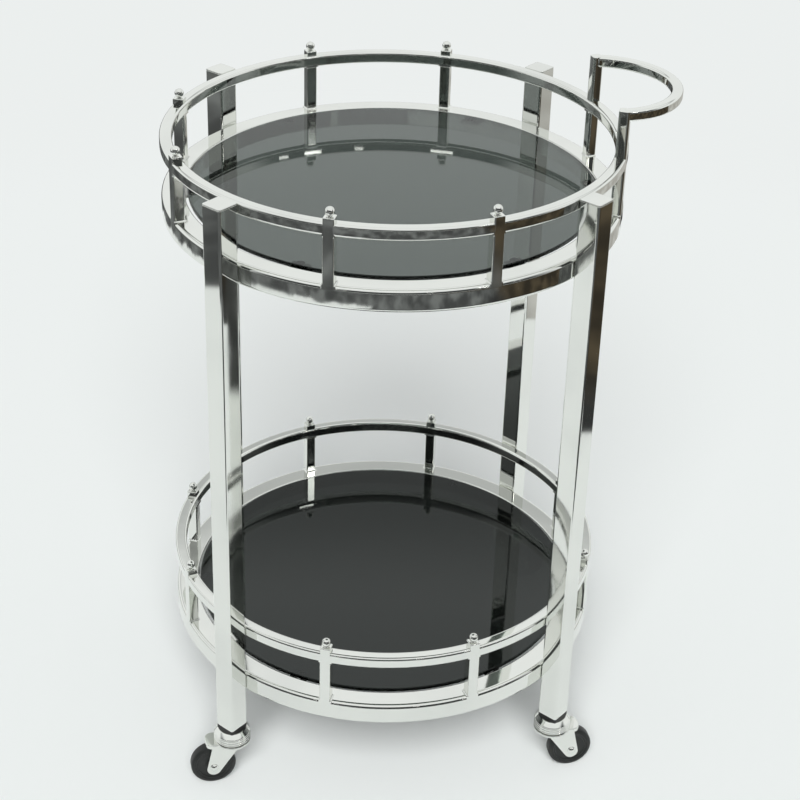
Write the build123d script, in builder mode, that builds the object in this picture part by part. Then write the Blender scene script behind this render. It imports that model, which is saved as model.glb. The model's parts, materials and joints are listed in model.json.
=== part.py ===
from build123d import *
from math import cos, pi, radians, sin
import os

# A round two-tier bar cart, in millimetres, +Z up, with the floor at z = 0.
# The origin is the middle of its footprint box. The handle stands out at +X.

# Trays and guard rails
tray_diameter = 522
ring_size = 26
ring_wall = 1.5
ring_corner = 2.5
guard_height = 69
tray_spacing = 539

# Legs
leg_size = 26
leg_wall = 1.5
leg_corner = 2.5
leg_cap_thickness = 2
leg_cap_depth = 12
leg_foot = 47.2
foot_flange = 5
leg_plug_cover = 4

# Guard rails, posts and finials
post_size = 12.5
post_corner = 1.5
post_angle = 19.3
post_rise = 6
rail_wall = 1.2
rail_corner = 2
finial_neck_diameter = 6
finial_neck_height = 1
finial_ball_diameter = 10.5
finial_stud_diameter = 4
finial_stud_length = 14

# Push handle
handle_bar = 12.5
handle_corner = 2
handle_reach = 60
handle_rise = 54

# Glass shelves and what carries them
glass_thickness = 5
glass_gap = 3
glass_proud = 2
glass_edge = 0.8
tab_count = 6
tab_width = 22
tab_thickness = 3
pad_diameter = 11
pad_thickness = 2
pad_inset = 2

# Casters
wheel_diameter = 54
wheel_width = 15
wheel_headroom = 4.6
caster_trail = 24
stem_diameter = 10
stem_length = 26
cup_wall = 2
cup_plate = 7.5
cup_corner = 5
kingpin_diameter = 9
kingpin_head_diameter = 16
kingpin_head_height = 2.2
ball_diameter = 5
ball_spacing = 2
race_inset = 5.5
race_margin = 3.9
race_cover = 3
crown_lip = 1
crown_thickness = 3
fork_plate = 2.5
fork_side_gap = 2
fork_lead = 11
fork_tip_radius = 10
crown_corner = 7
lip_clearance = 1.8
axle_diameter = 7
axle_head_diameter = 10
axle_head_height = 3
hub_diameter = 18
web_thickness = 6
rim_thickness = 4
tyre_thickness = 6
tyre_corner = 3

# Clearances
seat_gap = 0.05
plug_gap = 0.2
running_gap = 0.05
skirt_gap = 0.6
skirt_lift = 1.2
end_gap = 0.3

# What follows from the sizes above
tray_radius = tray_diameter / 2
axis_x = -handle_reach / 2
rail_size = post_size + rail_wall + end_gap
ring_inner_radius = tray_radius - ring_size
cup_depth = cup_plate + ball_diameter + race_cover
caster_height = wheel_diameter + wheel_headroom + crown_thickness + skirt_lift + cup_depth
leg_bottom = caster_height + foot_flange
lower_tray_height = leg_bottom + leg_foot + ring_size
upper_tray_height = lower_tray_height + tray_spacing
tray_heights = {"lower": lower_tray_height, "upper": upper_tray_height}
leg_top = upper_tray_height + guard_height
leg_radius = tray_radius + seat_gap + leg_size / 2
post_radius = tray_radius - post_size / 2
handle_top = leg_top + handle_rise
glass_radius = ring_inner_radius - glass_gap
pad_radius = glass_radius - pad_inset - pad_diameter / 2
tab_inner_radius = pad_radius - pad_diameter / 2

# Each leg stands at a corner, and its caster trails the way the second angle points.
corners = {
    "front_left": (225, 188),
    "front_right": (315, 8),
    "back_left": (135, 172),
    "back_right": (45, 352),
}
# The middle angle of each side, and the end that each of its two posts stands nearer to.
sides = {
    "right": (0, "front", "back"),
    "back": (90, "right", "left"),
    "left": (180, "back", "front"),
    "front": (270, "left", "right"),
}


def level(height):
    """The horizontal plane at a height, centred on the trays' axis."""
    return Plane((axis_x, 0, height))


def radial(radius, angle, height):
    """A horizontal plane out from the trays' axis, with its x direction pointing outwards."""
    out = Vector(cos(radians(angle)), sin(radians(angle)), 0)
    return Plane(Vector(axis_x, 0, height) + out * radius, x_dir=out)


def post_places(skip=None):
    """The name and angle of each post, in pairs about the four sides."""
    places = {}
    for side, (middle, first, second) in sides.items():
        if side == skip:
            continue
        places[f"{side}_{first}"] = middle - post_angle
        places[f"{side}_{second}"] = middle + post_angle
    return places


def save(part, name):
    part.label = name
    export_step(part, f"parts/{name}.step")


def tube_ring(top, size, wall, corner):
    """A square tube rolled into a full circle, with its outer face on the trays' radius."""
    with BuildPart() as ring:
        with BuildSketch(Plane.XZ):
            with Locations((axis_x + tray_radius - size / 2, top - size / 2)):
                RectangleRounded(size, size, corner)
                bore = size - 2 * wall
                RectangleRounded(bore, bore, max(corner - wall, wall / 4), mode=Mode.SUBTRACT)
        revolve(axis=Axis((axis_x, 0, 0), (0, 0, 1)))
    return ring.part


def guard_rail(top):
    """A rolled tube with a square pocket for each post, open outwards, that leaves its inner wall whole."""
    reach = post_size + seat_gap + rail_corner
    with BuildPart() as rail:
        add(tube_ring(top, rail_size, rail_wall, rail_corner))
        for angle in post_places().values():
            with BuildSketch(radial(tray_radius + rail_corner - reach / 2, angle, top - rail_size / 2)):
                Rectangle(reach, post_size + 2 * seat_gap)
            extrude(amount=rail_size, both=True, mode=Mode.SUBTRACT)
    return rail.part


def leg(angle):
    """An upright square tube, open at both ends, that stands outside the rings."""
    with BuildPart() as tube:
        with BuildSketch(radial(leg_radius, angle, leg_bottom)):
            RectangleRounded(leg_size, leg_size, leg_corner)
            bore = leg_size - 2 * leg_wall
            RectangleRounded(bore, bore, max(leg_corner - leg_wall, leg_wall / 4), mode=Mode.SUBTRACT)
        extrude(amount=leg_top - leg_cap_thickness - leg_bottom)
    return tube.part


def leg_caps():
    """A flat cap on each leg, with a plug that goes down into the tube."""
    plug = leg_size - 2 * leg_wall - 2 * plug_gap
    with BuildPart() as caps:
        for angle, _ in corners.values():
            with BuildSketch(radial(leg_radius, angle, leg_top - leg_cap_thickness)):
                RectangleRounded(leg_size, leg_size, leg_corner)
            extrude(amount=leg_cap_thickness)
            with BuildSketch(radial(leg_radius, angle, leg_top - leg_cap_thickness)):
                RectangleRounded(plug, plug, max(leg_corner - leg_wall, leg_wall / 4))
            extrude(amount=-leg_cap_depth)
    return caps.part


def leg_plugs():
    """A drilled plug in the foot of each leg, with a flange under the tube, which takes a caster's stem."""
    plug = leg_size - 2 * leg_wall - 2 * plug_gap
    with BuildPart() as plugs:
        for angle, _ in corners.values():
            with BuildSketch(radial(leg_radius, angle, caster_height)):
                RectangleRounded(leg_size, leg_size, leg_corner)
            extrude(amount=foot_flange)
            with BuildSketch(radial(leg_radius, angle, leg_bottom)):
                RectangleRounded(plug, plug, max(leg_corner - leg_wall, leg_wall / 4))
            extrude(amount=stem_length + leg_plug_cover)
            with BuildSketch(radial(leg_radius, angle, caster_height)):
                Circle(stem_diameter / 2 + seat_gap)
            extrude(amount=stem_length + end_gap, mode=Mode.SUBTRACT)
    return plugs.part


def post(angle, tray_top):
    """A square bar from the tray ring up through the guard rail, drilled for its finial."""
    top = tray_top + guard_height + post_rise
    with BuildPart() as bar:
        with BuildSketch(radial(post_radius, angle, tray_top)):
            RectangleRounded(post_size, post_size, post_corner)
        extrude(amount=top - tray_top)
        with BuildSketch(radial(post_radius, angle, top)):
            Circle(finial_stud_diameter / 2 + seat_gap)
        extrude(amount=-(finial_stud_length + end_gap), mode=Mode.SUBTRACT)
    return bar.part


def finials(tray_top, skip=None):
    """A turned knob on each post: a short neck and a ball, with a stud down into the post."""
    stud = finial_stud_diameter / 2
    neck = finial_neck_diameter / 2
    ball = finial_ball_diameter / 2
    neck_top = finial_neck_height
    ball_middle = neck_top + (ball**2 - neck**2) ** 0.5
    with BuildPart() as knobs:
        for angle in post_places(skip).values():
            foot = radial(post_radius, angle, tray_top + guard_height + post_rise)
            upright = Plane(foot.origin, x_dir=foot.x_dir, z_dir=-foot.y_dir)
            with BuildSketch(upright):
                with BuildLine():
                    Polyline(
                        (0, -finial_stud_length),
                        (stud, -finial_stud_length),
                        (stud, 0),
                        (neck, 0),
                        (neck, neck_top),
                    )
                    ThreePointArc((neck, neck_top), (ball, ball_middle), (0, ball_middle + ball))
                    Line((0, ball_middle + ball), (0, -finial_stud_length))
                make_face()
            revolve(axis=Axis(foot.origin, (0, 0, 1)))
    return knobs.part


def push_handle():
    """Two uprights in line with the posts, joined at the top by a level bow."""
    with BuildPart() as handle:
        for angle in (-post_angle, post_angle):
            with BuildSketch(radial(post_radius, angle, upper_tray_height)):
                RectangleRounded(post_size, post_size, post_corner)
            extrude(amount=handle_top - upper_tray_height)
        with BuildLine(level(handle_top - handle_bar / 2)) as bow:
            end_x = post_radius * cos(radians(post_angle))
            end_y = post_radius * sin(radians(post_angle))
            apex = tray_radius + handle_reach - handle_bar / 2
            ThreePointArc((end_x, -end_y), (apex, 0), (end_x, end_y))
        with BuildSketch(Plane(bow.line @ 0, x_dir=(0, 0, 1), z_dir=bow.line % 0)):
            RectangleRounded(handle_bar, handle_bar, handle_corner)
        sweep()
    return handle.part


def glass_shelf(tray_top):
    """A round glass plate that lies inside its tray ring and stands a little above it."""
    with BuildPart() as plate:
        with BuildSketch(level(tray_top + glass_proud - glass_thickness)):
            Circle(glass_radius)
        extrude(amount=glass_thickness)
        chamfer(plate.edges(), glass_edge)
    return plate.part


def glass_tabs(tray_top):
    """Flat lugs on the ring's inner wall, under the glass."""
    top = tray_top + glass_proud - glass_thickness - pad_thickness
    with BuildPart() as tabs:
        with BuildSketch(level(top - tab_thickness)):
            Circle(ring_inner_radius - seat_gap)
            Circle(tab_inner_radius, mode=Mode.SUBTRACT)
            with PolarLocations(ring_inner_radius, tab_count):
                Rectangle(2 * ring_size, tab_width, mode=Mode.INTERSECT)
        extrude(amount=tab_thickness)
    return tabs.part


def glass_pads(tray_top):
    """A soft pad on each lug, which the glass lies on."""
    with BuildPart() as pads:
        with BuildSketch(level(tray_top + glass_proud - glass_thickness - pad_thickness)):
            with PolarLocations(pad_radius, tab_count):
                Circle(pad_diameter / 2)
        extrude(amount=pad_thickness)
    return pads.part


os.makedirs("parts", exist_ok=True)

for tier, tray_top in tray_heights.items():
    handle_side = "right" if tier == "upper" else None
    save(tube_ring(tray_top, ring_size, ring_wall, ring_corner), f"{tier}_tray_ring")
    save(guard_rail(tray_top + guard_height), f"{tier}_guard_rail")
    for place, angle in post_places(handle_side).items():
        save(post(angle, tray_top), f"{tier}_post_{place}")
    save(finials(tray_top, handle_side), f"{tier}_finials")
    save(glass_tabs(tray_top), f"{tier}_glass_tabs")
    save(glass_pads(tray_top), f"{tier}_glass_pads")
    save(glass_shelf(tray_top), f"{tier}_glass")

for corner, (leg_angle, _) in corners.items():
    save(leg(leg_angle), f"leg_{corner}")
save(leg_caps(), "leg_caps")
save(leg_plugs(), "leg_plugs")
save(push_handle(), "push_handle")

# Widths in a caster, worked out from the kingpin and the wheel
ball_circle_diameter = kingpin_diameter + 2 * race_inset + ball_diameter
ball_count = int(pi * ball_circle_diameter / (ball_diameter + ball_spacing))
collar_diameter = ball_circle_diameter + ball_diameter + 2 * race_margin
cup_diameter = collar_diameter + 2 * skirt_gap + 2 * cup_wall
crown_diameter = cup_diameter + 2 * crown_lip
fork_inner_width = wheel_width + 2 * fork_side_gap
fork_outer_width = fork_inner_width + 2 * fork_plate
fork_rear = caster_trail + fork_tip_radius
wheel_radius = wheel_diameter / 2
rim_diameter = wheel_diameter - 2 * tyre_thickness

# Heights in a caster, worked down from the leg's foot
cup_roof = caster_height - cup_plate
ball_middle = cup_roof - running_gap - ball_diameter / 2
collar_top = ball_middle - ball_diameter / 2 - running_gap
crown_top = caster_height - cup_depth - skirt_lift
crown_bottom = crown_top - crown_thickness
kingpin_head_top = crown_bottom - end_gap


def caster_place(leg_angle, trail_angle):
    """The floor plane under a leg, with its x direction the way the caster trails."""
    trail = Vector(cos(radians(trail_angle)), sin(radians(trail_angle)), 0)
    return Plane(radial(leg_radius, leg_angle, 0).origin, x_dir=trail)


def side_view(place):
    """The upright plane through a caster's middle: x the way it trails, y up."""
    return Plane(place.origin, x_dir=place.x_dir, z_dir=-place.y_dir)


def about_axle(place):
    """The upright plane along a caster's axle: x along the axle, y up, origin at the wheel's middle."""
    middle = place.origin + place.x_dir * caster_trail + Vector(0, 0, wheel_radius)
    return Plane(middle, x_dir=place.y_dir, z_dir=place.x_dir)


def caster_cup(place):
    """The fixed half of a caster: stem, cup with a sloping shoulder and a skirt, and riveted kingpin."""
    outer = cup_diameter / 2
    pin = kingpin_diameter / 2
    head = kingpin_head_diameter / 2
    head_bottom = kingpin_head_top - kingpin_head_height
    with BuildPart() as cup:
        with BuildSketch(side_view(place)):
            with BuildLine():
                Polyline(
                    (0, head_bottom),
                    (head, head_bottom),
                    (head, kingpin_head_top),
                    (pin, kingpin_head_top),
                    (pin, cup_roof),
                    (outer - cup_wall, cup_roof),
                    (outer - cup_wall, caster_height - cup_depth),
                    (outer, caster_height - cup_depth),
                    (outer, caster_height - cup_corner),
                    (outer - cup_corner, caster_height),
                    (stem_diameter / 2, caster_height),
                    (stem_diameter / 2, caster_height + stem_length),
                    (0, caster_height + stem_length),
                    close=True,
                )
            make_face()
        revolve(axis=Axis(place.origin, (0, 0, 1)))
    return cup.part


def caster_balls(place):
    """The ring of bearing balls between the cup and the fork."""
    with BuildPart() as balls:
        with BuildSketch(side_view(place)):
            with Locations((ball_circle_diameter / 2, ball_middle)):
                Circle(ball_diameter / 2)
                Rectangle(ball_diameter, ball_diameter, align=(Align.MIN, Align.CENTER), mode=Mode.SUBTRACT)
        rim = place.x_dir * (ball_circle_diameter / 2)
        revolve(axis=Axis(place.origin + rim, (0, 0, 1)))
        pitch = 360 / ball_count
        turned = [balls.part.rotate(Axis(place.origin, (0, 0, 1)), pitch * k) for k in range(ball_count)]
        add(turned, mode=Mode.REPLACE)
    return balls.part


def caster_fork(place):
    """The turning half: a crown with the lower ball race and a lip, and two plates to the axle."""
    with BuildPart() as fork:
        with BuildSketch(place.offset(crown_bottom)):
            with Locations((fork_rear / 2, 0)):
                RectangleRounded(fork_rear, fork_outer_width, min(crown_corner, fork_outer_width / 3))
            Circle(crown_diameter / 2)
        extrude(amount=crown_thickness)
        with BuildSketch(place.offset(crown_bottom)):
            with Locations((fork_rear / 2, 0)):
                corner = min(crown_corner, fork_outer_width / 3)
                RectangleRounded(fork_rear, fork_outer_width, corner)
                hollow = max(corner - fork_plate, fork_plate / 4)
                inner_length = fork_rear - 2 * fork_plate
                RectangleRounded(inner_length, fork_inner_width, hollow, mode=Mode.SUBTRACT)
            with Locations((fork_rear - crown_corner / 2, 0)):
                Rectangle(crown_corner, fork_outer_width, mode=Mode.INTERSECT)
        extrude(amount=lip_clearance - wheel_headroom)
        with BuildSketch(place.offset(crown_top)):
            Circle(collar_diameter / 2)
        extrude(amount=collar_top - crown_top)
        for plate_side in (-1, 1):
            face = side_view(place).offset(plate_side * (fork_inner_width + fork_plate) / 2)
            with BuildSketch(face):
                with Locations((caster_trail, wheel_radius)):
                    Circle(fork_tip_radius)
                with Locations((fork_rear - crown_corner, crown_bottom)):
                    plate_top = fork_rear - crown_corner + fork_lead
                    Rectangle(plate_top, crown_thickness, align=(Align.MAX, Align.MIN))
                make_hull()
            extrude(amount=fork_plate / 2, both=True)
        with BuildSketch(place):
            Circle(kingpin_diameter / 2 + running_gap)
        extrude(amount=caster_height, mode=Mode.SUBTRACT)
        with BuildSketch(side_view(place)):
            with Locations((caster_trail, wheel_radius)):
                Circle(axle_diameter / 2 + seat_gap)
        extrude(amount=fork_outer_width, both=True, mode=Mode.SUBTRACT)
    return fork.part


def caster_axle(place):
    """The riveted axle, with a domed head outside each fork plate."""
    plane = about_axle(place)
    half = fork_outer_width / 2 + seat_gap
    tip = half + axle_head_height
    neck = axle_diameter / 2
    head = axle_head_diameter / 2
    dome = (head**2 + axle_head_height**2) / (2 * axle_head_height)
    with BuildPart() as axle:
        with BuildSketch(plane):
            with BuildLine():
                Line((-tip, 0), (tip, 0))
                RadiusArc((tip, 0), (half, head), -dome)
                Polyline((half, head), (half, neck), (-half, neck), (-half, head))
                RadiusArc((-half, head), (-tip, 0), -dome)
            make_face()
        revolve(axis=Axis(plane.origin, plane.x_dir))
    return axle.part


def caster_wheel(place):
    """The moulded wheel: hub, web and rim, bored for the axle."""
    plane = about_axle(place)
    hub_width = fork_inner_width - 2 * end_gap
    rim = rim_diameter / 2
    with BuildPart() as wheel:
        with BuildSketch(plane):
            with Locations((0, 0)):
                Rectangle(hub_width, hub_diameter / 2, align=(Align.CENTER, Align.MIN))
                Rectangle(web_thickness, rim, align=(Align.CENTER, Align.MIN))
            with Locations((0, rim)):
                Rectangle(wheel_width - 2 * end_gap, rim_thickness, align=(Align.CENTER, Align.MAX))
            bore = axle_diameter / 2 + running_gap
            Rectangle(2 * hub_width, bore, align=(Align.CENTER, Align.MIN), mode=Mode.SUBTRACT)
        revolve(axis=Axis(plane.origin, plane.x_dir))
    return wheel.part


def caster_tyre(place):
    """The solid tyre on the rim, with rounded shoulders."""
    plane = about_axle(place)
    inner = rim_diameter / 2 + seat_gap
    with BuildPart() as tyre:
        with BuildSketch(plane) as section:
            with Locations((0, inner)):
                Rectangle(wheel_width, wheel_radius - inner, align=(Align.CENTER, Align.MIN))
            shoulders = section.vertices().group_by(Axis.Y)[-1]
            fillet(shoulders, min(tyre_corner, 0.45 * wheel_width, 0.9 * (wheel_radius - inner)))
        revolve(axis=Axis(plane.origin, plane.x_dir))
    return tyre.part


for corner, (leg_angle, trail_angle) in corners.items():
    place = caster_place(leg_angle, trail_angle)
    save(caster_cup(place), f"caster_cup_{corner}")
    save(caster_balls(place), f"caster_balls_{corner}")
    save(caster_fork(place), f"caster_fork_{corner}")
    save(caster_axle(place), f"caster_axle_{corner}")
    save(caster_wheel(place), f"caster_wheel_{corner}")
    save(caster_tyre(place), f"caster_tyre_{corner}")
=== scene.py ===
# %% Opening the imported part
import json
from math import acos, asin, atan2, cos, hypot, pi, radians, sin, sqrt

import bmesh
import bpy
from mathutils import Euler, Matrix, Vector


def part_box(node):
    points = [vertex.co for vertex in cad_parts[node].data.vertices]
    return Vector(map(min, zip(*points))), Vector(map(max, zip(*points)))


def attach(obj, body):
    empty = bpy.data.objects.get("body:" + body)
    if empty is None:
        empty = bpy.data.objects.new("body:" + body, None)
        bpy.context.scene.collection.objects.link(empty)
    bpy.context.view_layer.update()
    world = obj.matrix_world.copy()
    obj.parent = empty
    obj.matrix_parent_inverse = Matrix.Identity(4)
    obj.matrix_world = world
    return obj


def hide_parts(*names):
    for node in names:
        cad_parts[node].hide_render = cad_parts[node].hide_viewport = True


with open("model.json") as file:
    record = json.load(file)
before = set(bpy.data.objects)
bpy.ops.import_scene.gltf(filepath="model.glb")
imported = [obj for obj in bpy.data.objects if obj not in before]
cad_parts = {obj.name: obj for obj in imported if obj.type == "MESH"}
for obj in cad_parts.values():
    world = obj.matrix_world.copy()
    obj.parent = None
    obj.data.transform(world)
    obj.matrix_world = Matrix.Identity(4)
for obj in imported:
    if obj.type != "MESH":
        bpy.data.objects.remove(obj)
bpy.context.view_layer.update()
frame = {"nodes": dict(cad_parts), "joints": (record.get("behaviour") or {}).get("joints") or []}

mm = 0.001

# %% [markdown]
# The cart is a set of rolled and straight square tubes round two glass shelves.
# Its sizes could be typed in again here, but then the picture and the CAD model could
# drift apart. So they are measured from the CAD nodes' boxes, and every piece below is
# worked out from these few lengths.

# %% Measuring the cart
ring_low, ring_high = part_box("upper_tray_ring")
axis_x = (ring_low.x + ring_high.x) / 2
tray_radius = (ring_high.x - ring_low.x) / 2
ring_size = ring_high.z - ring_low.z
rail_low, rail_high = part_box("upper_guard_rail")
rail_size = rail_high.z - rail_low.z
tray_top = {tier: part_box(tier + "_tray_ring")[1].z for tier in ("upper", "lower")}
rail_top = {tier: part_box(tier + "_guard_rail")[1].z for tier in ("upper", "lower")}
corners = ("front_left", "front_right", "back_left", "back_right")
print("tray radius", round(tray_radius, 4), "ring", round(ring_size, 4), "rail", round(rail_size, 4))

# %% [markdown]
# The camera stands a little to the left of the middle, well above the cart, and looks down
# at it. A long lens keeps the legs nearly parallel. Its place, turn and lens were fitted to
# the photograph by points on the tubes. The small vertical shift only says how
# the picture was cropped.

# %% Placing the camera
eye = Vector((-0.19874, -1.83943, 1.52046))
look_right, look_down, tilt = 0.0983, 0.4963, 0.0296
lens, sensor, crop_shift = 79.95, 36, -0.0986
bpy.ops.object.select_all(action="DESELECT")
bpy.ops.object.camera_add(location=eye)
camera = bpy.context.object
camera.name = "camera"
facing = Euler((pi / 2 - look_down, 0, -look_right)).to_matrix() @ Matrix.Rotation(tilt, 3, "Z")
camera.matrix_world = Matrix.Translation(eye) @ facing.to_4x4()
camera.data.lens = lens
camera.data.sensor_width = sensor
camera.data.shift_y = crop_shift
bpy.context.scene.camera = camera
bpy.context.scene.view_settings.view_transform = "Standard"
print("camera", [round(x, 3) for x in eye], "lens", lens)

# %% [markdown]
# A finish is a small tree of shader nodes. Wiring nodes by hand is long to read, so one
# class stands for a socket: sums and products of sockets add Math nodes, and one method
# adds any other kind of node.

# %% Writing shaders as sums
class Value:
    """One output socket in a node tree."""

    def __init__(self, tree, socket=None):
        self.tree = tree
        self.socket = socket

    def node(self, kind, settings=None, inputs=None, output=0):
        """Adds a node: its settings first, then the values or links of its sockets."""
        made = self.tree.nodes.new(kind)
        for name, value in (settings or {}).items():
            setattr(made, name, value)
        for name, value in (inputs or {}).items():
            if isinstance(value, Value):
                self.tree.links.new(value.socket, made.inputs[name])
            else:
                made.inputs[name].default_value = value
        return Value(self.tree, made.outputs[output])

    def math(self, operation, *others):
        return self.node("ShaderNodeMath", {"operation": operation}, dict(enumerate((self, *others))))

    def __add__(self, other):
        return self.math("ADD", other)

    def __sub__(self, other):
        return self.math("SUBTRACT", other)

    def __rsub__(self, other):
        return self.node("ShaderNodeMath", {"operation": "SUBTRACT"}, {0: other, 1: self})

    def __mul__(self, other):
        return self.math("MULTIPLY", other)

    __radd__ = __add__
    __rmul__ = __mul__

    def ramp(self, low, high):
        """0 below low, 1 above high, and smooth between."""
        return self.node("ShaderNodeMapRange", {"interpolation_type": "SMOOTHSTEP"},
                         {0: self, 1: low, 2: high})

    def blend(self, first, second):
        """A colour that goes from the first to the second as this value goes from 0 to 1."""
        return self.node("ShaderNodeMix", {"data_type": "RGBA"}, {0: self, 6: first, 7: second}, 2)

    def noise(self, scale, detail=2.0):
        return self.node("ShaderNodeTexNoise", {}, {"Vector": self, "Scale": scale, "Detail": detail})

    def part(self, letter):
        """The X, Y or Z of a place or a heading."""
        return self.node("ShaderNodeSeparateXYZ", {}, {0: self}, letter)

    def stretched(self, factors):
        return self.node("ShaderNodeVectorMath", {"operation": "MULTIPLY"}, {0: self, 1: factors})

    def bump(self, depth):
        return self.node("ShaderNodeBump", {}, {"Height": self, "Distance": depth, "Strength": 1.0})


print("values can now be added, multiplied and blended")

# %% [markdown]
# Every finish starts in the same way: a new material, the place on its piece, and the
# Principled surface, which covers metal, glass and plastic alike.

# %% Starting a finish
def new_finish(name):
    """A material, the place on its piece, and its Principled surface."""
    finish = bpy.data.materials.new(name)
    finish.use_nodes = True
    surface = finish.node_tree.nodes["Principled BSDF"]
    place = Value(finish.node_tree).node("ShaderNodeTexCoord", output="Object")
    return finish, place, surface


def feed(surface, **sockets):
    """Sets or links the surface's sockets. Base_Color stands for Base Color."""
    for name, value in sockets.items():
        socket = surface.inputs[name.replace("_", " ")]
        if isinstance(value, Value):
            surface.id_data.links.new(value.socket, socket)
        else:
            socket.default_value = value


print("shader helpers ready")

# %% [markdown]
# All the metal is mirror polished. A perfect mirror looks drawn by a computer, so three
# small things are added: hairlines that follow the tube, a slow ripple left by rolling and
# buffing, which bends the reflections, and a thin haze of handling that softens them in
# places. On a ring the hairlines run round the axis, so the place is first turned into a
# distance round and a distance out.

# %% Polished metal
hairline_width = 0.5 * mm
hairline_length = 45 * mm
hairline_share = 0.01
bright_metal = (0.83, 0.84, 0.805, 1)
hazed_metal = (0.77, 0.78, 0.75, 1)
mirror_rough, haze_rough, hairline_rough = 0.025, 0.035, 0.03
haze_scale, haze_soft = 9.0, (0.42, 0.75)
hairline_detail, haze_detail, ripple_detail = 3.0, 4.0, 1.0


def run_up(place):
    """Coordinates for grain that runs up a straight tube."""
    return place.stretched((1 / hairline_width, 1 / hairline_width, 1 / hairline_length))


def run_round(place):
    """Coordinates for grain that runs round the trays' axis."""
    out, side, height = place.part("X") - axis_x, place.part("Y"), place.part("Z")
    turn = side.math("ARCTAN2", out) * (tray_radius / hairline_length)
    reach = (out * out + side * side).math("SQRT") * (1 / hairline_width)
    return place.node("ShaderNodeCombineXYZ", {},
                      {"X": reach, "Y": turn, "Z": height * (1 / hairline_width)})


def polished(name, run, ripple_length, ripple_depth):
    finish, place, surface = new_finish(name)
    hairline = run(place).noise(1.0, hairline_detail)
    haze = place.noise(haze_scale, haze_detail).ramp(*haze_soft)
    ripple = place.noise(1 / ripple_length, ripple_detail)
    feed(surface, Metallic=1.0,
         Base_Color=haze.blend(bright_metal, hazed_metal),
         Roughness=mirror_rough + haze_rough * haze + hairline_rough * hairline,
         Normal=(ripple + hairline * hairline_share).bump(ripple_depth))
    return finish


tube_round = polished("polished_rolled_tube", run_round, 30 * mm, 0.05 * mm)
tube_up = polished("polished_straight_tube", run_up, 45 * mm, 0.04 * mm)
turned_metal = polished("polished_turnings", run_up, 8 * mm, 0.004 * mm)
pressed_metal = polished("polished_pressings", run_up, 12 * mm, 0.02 * mm)
print("polished finishes:", tube_round.name, tube_up.name, turned_metal.name, pressed_metal.name)

# %% [markdown]
# The shelves are smoked glass. Seen from above it is a dark mirror, because glass always
# reflects a few per cent and hardly anything comes back through it. Clear glass with a dark
# colour gives both at once, and the faint wiping marks only change how sharp the mirror is.

# %% Smoked glass
glass_rough, wiped_rough = 0.002, 0.02
glass_sheen = (0.92, 1.0, 0.965, 1)
glass_ior = 1.5
wiping_stretch, wiping_scale = (1.0, 3.0, 1.0), 16.0
wiping_detail, wiping_soft = 5.0, (0.5, 0.8)


def smoked(name, tint):
    finish, place, surface = new_finish(name)
    wiping = place.stretched(wiping_stretch).noise(wiping_scale, wiping_detail).ramp(*wiping_soft)
    feed(surface, Base_Color=tint, IOR=glass_ior, Transmission_Weight=1.0,
         Roughness=glass_rough + wiped_rough * wiping, Specular_Tint=glass_sheen)
    return finish


# Both shelves are the same smoked glass. The lower one's far darker tint is painted shade: it stands
# for the little light that comes up through it from the shaded floor under the cart.
smoked_glass = {"upper": smoked("smoked_glass", (0.086, 0.101, 0.093, 1)),
                "lower": smoked("shaded_smoked_glass", (0.012, 0.014, 0.013, 1))}
print("glass:", [finish.name for finish in smoked_glass.values()])

# %% [markdown]
# The wheels are black plastic with a slightly duller black tyre. Black things still need a
# few shades: moulding grain, and greyer scuffs that are duller again.

# %% Black plastic and rubber
scuff_rough = 0.2
scuff_scale, scuff_detail, scuff_soft = 60.0, 5.0, (0.45, 0.8)
plastic_shine = 0.35
grain_depth, grain_detail = 0.03 * mm, 3.0


def moulded(name, colour, scuffed, low_rough, grain):
    finish, place, surface = new_finish(name)
    wear = place.noise(scuff_scale, scuff_detail).ramp(*scuff_soft)
    feed(surface, Base_Color=wear.blend(colour, scuffed),
         Roughness=low_rough + scuff_rough * wear, Specular_IOR_Level=plastic_shine,
         Normal=place.noise(1 / grain, grain_detail).bump(grain_depth))
    return finish


wheel_black = moulded("black_wheel_plastic", (0.012, 0.013, 0.0125, 1), (0.024, 0.025, 0.024, 1),
                      0.34, 0.9 * mm)
tyre_black = moulded("black_tyre_rubber", (0.011, 0.012, 0.0115, 1), (0.026, 0.026, 0.025, 1),
                     0.42, 0.7 * mm)
# The black feet are partly a plastic plug and partly painted shade: their black fills the dark gap
# between each leg and its cup.
foot_plug_and_shade = moulded("black_foot_plug_and_gap_shade", (0.012, 0.012, 0.012, 1), (0.03, 0.03, 0.03, 1),
                     0.4, 0.8 * mm)
print("black finishes:", wheel_black.name, tyre_black.name, foot_plug_and_shade.name)

# %% [markdown]
# A few small pieces hardly show: the lugs and soft pads under the glass and the bearing
# balls. They still get their own finish, so that a view from below looks right.

# %% The small hidden finishes
stain_shade = 0.8
stain_rough = 0.12
stain_scale, stain_detail, stain_soft = 70.0, 4.0, (0.4, 0.8)
steel_grain_scale, steel_grain_depth = 700.0, 0.01 * mm
pad_rough, cloud_rough = 0.3, 0.25
pad_clear, pad_ior = 0.55, 1.41
cloud_scale, cloud_detail = 240.0, 3.0


def plain_steel(name, colour, rough):
    finish, place, surface = new_finish(name)
    stain = place.noise(stain_scale, stain_detail).ramp(*stain_soft)
    stained = tuple(stain_shade * channel for channel in colour[:3]) + (1,)
    feed(surface, Metallic=1.0, Base_Color=stain.blend(colour, stained),
         Roughness=rough + stain_rough * stain,
         Normal=place.noise(steel_grain_scale).bump(steel_grain_depth))
    return finish


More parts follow.
